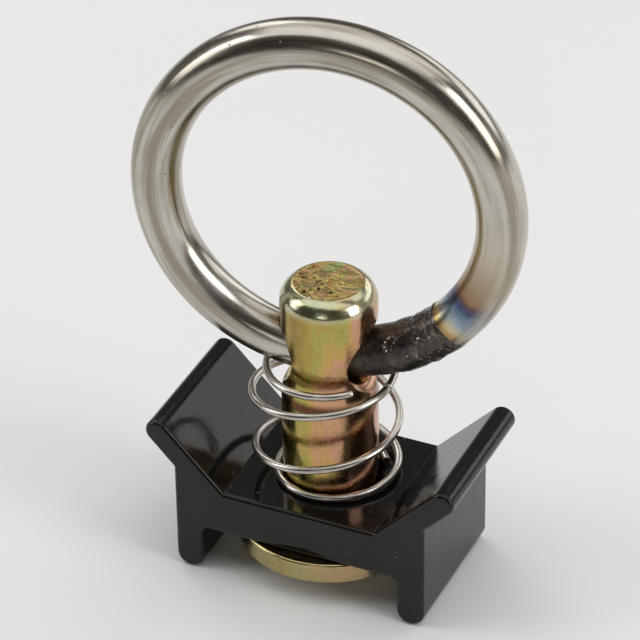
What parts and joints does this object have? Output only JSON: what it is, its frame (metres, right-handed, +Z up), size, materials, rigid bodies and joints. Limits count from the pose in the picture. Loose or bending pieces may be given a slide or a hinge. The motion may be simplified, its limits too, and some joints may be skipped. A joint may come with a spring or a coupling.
{
  "type": "track tie-down fitting",
  "caption": "Headed stud for slotted anchor track with a round pull ring through its top and a spring-loaded winged keeper that drops into the track's holes.",
  "frame": {"origin": "on the stud's axis, in the plane of the keeper's two leg ends", "axes": "+Z up the stud from its head to the ring, +X along the keeper from leg to leg, +Y across the keeper's depth"},
  "size_m": [0.0406, 0.0198, 0.0642],
  "materials": {
    "yellow_zinc": "yellow chromate over zinc",
    "black_coat": "gloss black coating",
    "spring_wire": "drawn wire",
    "polished_bar": "brushed and polished",
    "weld_metal": "dark dressed weld"
  },
  "bodies": {
    "stud": {"stud": "yellow_zinc"},
    "spring": {"spring": "spring_wire"},
    "keeper": {"keeper": "black_coat"},
    "ring": {"ring": "polished_bar", "ring_weld": "weld_metal"}
  },
  "joints": [
    {"name": "keeper_turn", "type": "hinge", "parent": "stud", "child": "spring", "pos_m": [0, 0, 0.01048], "axis": [0, 0, 1], "continuous": true},
    {"name": "keeper_lift", "type": "slide", "parent": "spring", "child": "keeper", "axis": [0, 0, 1], "range_m": [0, 0.0077], "stiffness_N_per_m": 500, "springref_m": -0.008, "deforming": ["spring"]},
    {"name": "ring_swing", "type": "hinge", "parent": "stud", "child": "ring", "pos_m": [0, 0, 0.02625], "axis": [0.9888, 0.1495, 0], "range_deg": [-72, 72]}
  ]
}
